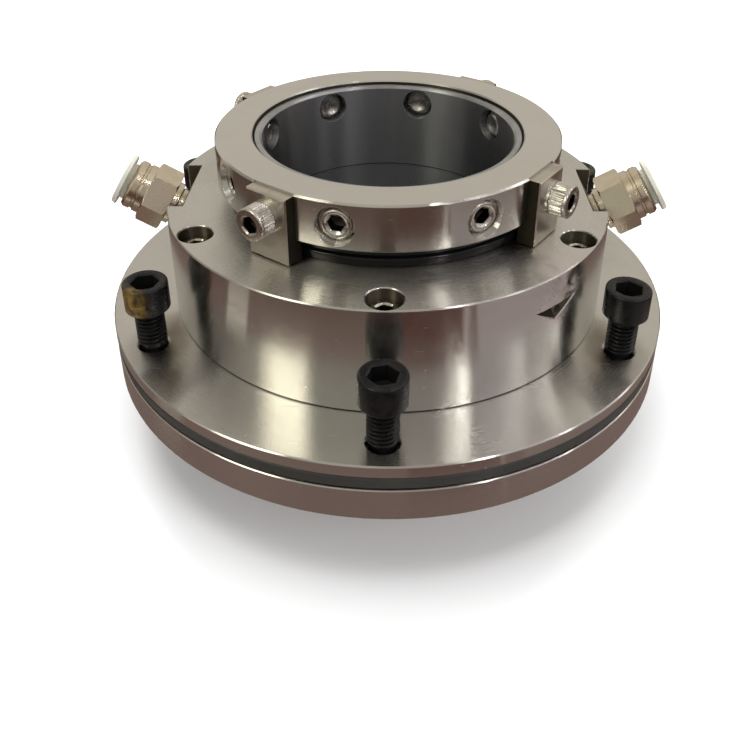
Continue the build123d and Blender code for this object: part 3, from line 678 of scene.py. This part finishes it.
def set_screws(bm):
    """Set screws: a chamfered hexagon socket outside, a serrated cup for the shaft inside."""
    inner, outer, radius, segments = 43.4, 56.6, 4.92, 120
    hexagon = hexagon_radius(4.9)
    rim = knurl_radius(3.75, 30, 0.34)
    crest = knurl_radius(3.2, 30, 0.24)
    cup = [(0, inner + 1.7), (2.2, inner + 0.25), (crest, inner), (rim, inner + 0.75),
           (radius - 0.25, inner + 1.6), (radius, inner + 2.0)]
    socket = [(radius, outer - 0.9, 0.8), (radius - 0.12, outer - 0.5),
              (radius - 0.45, outer - 0.15), (radius - 0.95, outer), (3.5, outer - 0.1),
              (3.15, outer - 0.35), (hexagon, outer - 0.8, 0.5), (hexagon, outer - 1.5, 1),
              (hexagon, outer - 4.2, 1), (0, outer - 5.0, 1)]
    for azimuth in SET_SCREW_AZIMUTHS:
        turned = Matrix.Rotation(math.radians(azimuth * 2.3), 4, "Z")
        lathe(bm, cup + socket, segments, radial(azimuth, FASTENER_Z) @ turned)


def face_springs(bm):
    """The ring of small coil springs behind the floating face."""
    gap, turns = 0.03, 3
    for azimuth in SPRING_AZIMUTHS:
        coil(bm, SPRING_RADIUS, SPRING_WIRE, SPRING_LOW.z + gap, SPRING_HIGH.z - gap, turns,
             upright(azimuth, SPRING_CIRCLE, 0))


RING_SEGMENTS = 180


def flange_o_ring(bm):
    """The O-ring in the flange's rim, pressed to a rounded block."""
    low, high = box_mm("flange_o_ring")
    outer, inner, corner = high.x, 94.2, 1.3
    outline = arc(inner + corner, low.z + corner, corner, 180, 270)
    outline += arc(outer - corner, low.z + corner, corner, 270, 360)
    outline += arc(outer - corner, high.z - corner, corner, 0, 90)
    outline += arc(inner + corner, high.z - corner, corner, 90, 180)
    lathe(bm, outline + outline[:1], RING_SEGMENTS, Matrix.Identity(4))


def dust_ring(bm):
    """The moulded dust ring: a wide lip at its foot, a waist and a soft upper edge."""
    low, high = box_mm("dust_ring")
    inner, lip, body, waist_z, soft = 45.52, high.x, 53.6, 85.2, 0.9
    outline = [(inner, low.z)] + arc(lip - soft, low.z + soft, soft, 270, 360)
    outline += arc(lip - soft, waist_z - soft, soft, 0, 90) + [(body - 0.67, waist_z + 0.329)]
    outline += arc(body - 0.5, waist_z + 0.9, 0.5, 300, 360)
    outline += [(body, high.z - 0.4), (body - 0.4, high.z), (inner, high.z), (inner, low.z)]
    lathe(bm, outline, RING_SEGMENTS, Matrix.Identity(4))


piece("flange_screws_threaded", flange_screws, "stator", "flange_screws", "black_screw")
piece("clip_screws_knurled", clip_screws, "rotor", "clip_screws", "clip_screw_steel")
piece("gland_screws_knurled", gland_screws, "stator", "gland_screws", "stainless_screw")
piece("set_screws_cupped", set_screws, "rotor", "set_screws", "set_screw_steel")
springs = piece("face_springs_coiled", face_springs, "stator", "face_springs", "spring_alloy")
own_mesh(springs)
piece("flange_o_ring_round", flange_o_ring, "stator", "flange_o_ring", "o_ring_rubber")
piece("dust_ring_moulded", dust_ring, "rotor", "dust_ring", "dust_rubber")


# --- stage: floor, reflection cards, lamps, camera, all in metres --------------------------------
WHITE = (1.0, 1.0, 1.0)
FLOOR_COLOUR = (0.80, 0.80, 0.80)
FLOOR_Z = -0.0002
FLOOR_HALF = 12.0
# The floor's lift: from 0.14 at 0.22 m from the shaft axis to 0.80 at 0.70 m.
FLOOR_LIFT = (0.22, 0.70, 0.14, 0.80)
WORLD_LIGHT, WORLD_SEEN = 0.55, 1.0
LAMP_AIM = Vector((0, 0, 0.05))
CARD_STEP = 6.0


def seen_directly(n):
    """1 for camera, glossy and transmission rays, 0 for the rays that light the object."""
    rays = n.add("ShaderNodeLightPath").outputs
    mirrored = n.math("MAXIMUM", rays["Is Camera Ray"], rays["Is Glossy Ray"])
    return n.math("MAXIMUM", mirrored, rays["Is Transmission Ray"])


def bare_material(name):
    """A new material without nodes, and the maker of its nodes."""
    material = bpy.data.materials.new(name)
    material.use_nodes = True
    material.node_tree.nodes.clear()
    return material, Nodes(material.node_tree)


def pale_floor():
    """A pale floor that lifts towards white for the camera and still takes the object's shadow."""
    material, n = bare_material("pale_floor")
    diffuse = n.add("ShaderNodeBsdfDiffuse", {"Color": rgba(FLOOR_COLOUR)})
    position = n.add("ShaderNodeNewGeometry").outputs["Position"]
    away = n.add("ShaderNodeVectorMath", {0: position}, operation="LENGTH").outputs["Value"]
    lift = n.product(seen_directly(n), n.span(away, *FLOOR_LIFT))
    lit = n.add("ShaderNodeEmission", {"Strength": lift})
    both = n.add("ShaderNodeAddShader", {0: diffuse.outputs[0], 1: lit.outputs[0]})
    n.add("ShaderNodeOutputMaterial", {"Surface": both.outputs[0]})
    return material


def floor_mesh(bm):
    """One large square."""
    corners = ((-1, -1), (1, -1), (1, 1), (-1, 1))
    bm.faces.new([bm.verts.new((x * FLOOR_HALF, y * FLOOR_HALF, FLOOR_Z)) for x, y in corners])


floor = mesh_object("floor", floor_mesh)
floor.data.materials.append(pale_floor())


def glow(name, colour, strength, sampled):
    """A plain emitter; only a sampled one is looked for by the rays that light the object."""
    material, n = bare_material(name)
    emission = n.add("ShaderNodeEmission", {"Color": rgba(colour), "Strength": strength})
    n.add("ShaderNodeOutputMaterial", {"Surface": emission.outputs[0]})
    if not sampled:
        material.cycles.emission_sampling = "NONE"
    return material


def card(name, at, us, vs, colour, strength, sampled=False):
    """A studio card that only shows in reflections: at(u, v) gives its points."""

    def build(bm):
        rows = [[bm.verts.new(at(u, v)) for u in us] for v in vs]
        for low, high in zip(rows, rows[1:]):
            for k in range(len(us) - 1):
                bm.faces.new((low[k], low[k + 1], high[k + 1], high[k]))

    obj = mesh_object(name, build)
    obj.data.materials.append(glow(name, colour, strength, sampled))
    obj.visible_camera = False
    obj.visible_diffuse = False
    obj.visible_shadow = False
    obj.visible_transmission = False


def steps_between(low, high):
    """Even steps of at most CARD_STEP degrees."""
    count = max(1, math.ceil((high - low) / CARD_STEP))
    return [low + (high - low) * k / count for k in range(count + 1)]


def sky_card(name, az0, az1, el0, el1, colour, strength, distance=2.0, sampled=False):
    """A patch of a dome around the object, between two azimuths and elevations in degrees."""

    def at(azimuth, elevation):
        a, e = math.radians(azimuth), math.radians(elevation)
        flat = math.cos(e)
        return distance * Vector((math.cos(a) * flat, math.sin(a) * flat, math.sin(e)))

    card(name, at, steps_between(az0, az1), steps_between(el0, el1), colour, strength, sampled)


def floor_card(name, r0, r1, z, colour, az0=0, az1=360):
    """A ring of card lying on the floor, or a sector of one."""

    def at(azimuth, r):
        a = math.radians(azimuth)
        return Vector((r * math.cos(a), r * math.sin(a), z))

    card(name, at, steps_between(az0, az1), (r0, r1), colour, 1.0)


def floor_strip(name, start, heading, half_angle, z, colour):
    """A narrow wedge of card on the floor, widening from a point along a heading in degrees."""

    def at(turn, reach):
        a = math.radians(heading + turn)
        return Vector((start[0] + reach * math.cos(a), start[1] + reach * math.sin(a), z))

    near_end, far_end = 0.075, 1.7
    card(name, at, (-half_angle, half_angle), (near_end, far_end), colour, 1.0)


floor_card("table_card", 0.185, 1.9, 0.0008, (0.10, 0.058, 0.044))
floor_card("near_card", 0.070, 0.185, 0.0008, (0.22, 0.155, 0.135))
floor_card("bore_card", 0.0005, 0.066, 0.0004, (0.10, 0.10, 0.105))
sky_card("room", 0, 360, -2, 90, (0.67, 0.62, 0.54), 1.0, distance=2.1)
sky_card("wall_far_left", 150, 192, -2, 62, (0.34, 0.32, 0.28), 1.0)
sky_card("wall_left", -139, -92, -2, 62, (0.47, 0.46, 0.40), 1.0)
sky_card("wall_middle", -92, -50, -2, 62, (0.42, 0.38, 0.36), 1.0)
sky_card("wall_right", -50, -5, -2, 62, (0.58, 0.53, 0.54), 1.0)
sky_card("window", -155, -131, 25, 50, (1.0, 0.96, 0.78), 4.4, distance=1.95, sampled=True)
sky_card("lamp_strip", -51.3, -50.2, 20, 60, (1.0, 0.97, 0.92), 30.0, distance=1.9, sampled=True)
sky_card("faint_strip", -21, -18.5, 20, 60, (1.0, 0.97, 0.95), 4.5, distance=1.95, sampled=True)
sky_card("right_strip", 5, 12, 20, 60, (1.0, 0.97, 0.95), 3.4, sampled=True)
floor_card("red_mat", 0.146, 0.208, 0.0012, (0.070, 0.008, 0.004), -84, -60)
floor_card("pale_mat", 0.146, 0.26, 0.0010, (0.42, 0.35, 0.34), -54, -8)
floor_card("bright_mat", 0.146, 0.182, 0.0012, (0.80, 0.74, 0.62), -158, -147)
floor_strip("strip_below", (0.0256, -0.0716), -50.5, 0.6, 0.0016, (1.0, 0.92, 0.84))

world = bpy.data.worlds.new("studio")
bpy.context.scene.world = world
world.use_nodes = True
sky = Nodes(world.node_tree)
level = sky.span(seen_directly(sky), 0.0, 1.0, WORLD_LIGHT, WORLD_SEEN)
sky.set(world.node_tree.nodes["Background"], {"Color": rgba(WHITE), "Strength": level})


def area_lamp(name, place, size, power):
    """A rectangular lamp aimed at the middle of the seal, unseen in reflections."""
    data = bpy.data.lights.new(name, "AREA")
    data.shape = "RECTANGLE"
    data.size, data.size_y = size
    data.energy = power
    lamp = bpy.data.objects.new(name, data)
    bpy.context.scene.collection.objects.link(lamp)
    lamp.location = place
    lamp.rotation_euler = (LAMP_AIM - Vector(place)).to_track_quat("-Z", "Y").to_euler()
    lamp.visible_glossy = False


area_lamp("key", (-0.08, -0.05, 1.0), (0.6, 0.6), 7.0)
area_lamp("back_left", (-0.45, 0.75, 0.60), (0.25, 0.5), 5.0)
area_lamp("back_right", (0.60, 0.70, 0.55), (0.25, 0.5), 4.0)
area_lamp("front_right", (0.8, -0.6, 0.5), (0.15, 0.6), 2.5)

# The camera fitted to the circles in the photograph.
CAMERA_TURN = math.radians(1.2)
CAMERA_ELEVATION = math.radians(28.40)
CAMERA_ROLL = math.radians(0.13)
CAMERA_PLACE = Vector((-3.46, -268.56, 215.72)) * MM
camera_data = bpy.data.cameras.new("camera")
camera_data.lens = 41.06
camera_data.sensor_width = 36.0
camera_data.shift_x = -0.0035
camera_data.shift_y = -0.2133
camera_data.clip_start = 0.01
camera = bpy.data.objects.new("camera", camera_data)
bpy.context.scene.collection.objects.link(camera)
camera.matrix_world = (Matrix.Rotation(CAMERA_TURN, 4, "Z") @ Matrix.Translation(CAMERA_PLACE)
                       @ Matrix.Rotation(math.pi / 2 - CAMERA_ELEVATION, 4, "X")
                       @ Matrix.Rotation(CAMERA_ROLL, 4, "Z"))
bpy.context.scene.camera = camera
bpy.context.scene.view_settings.view_transform = "Standard"
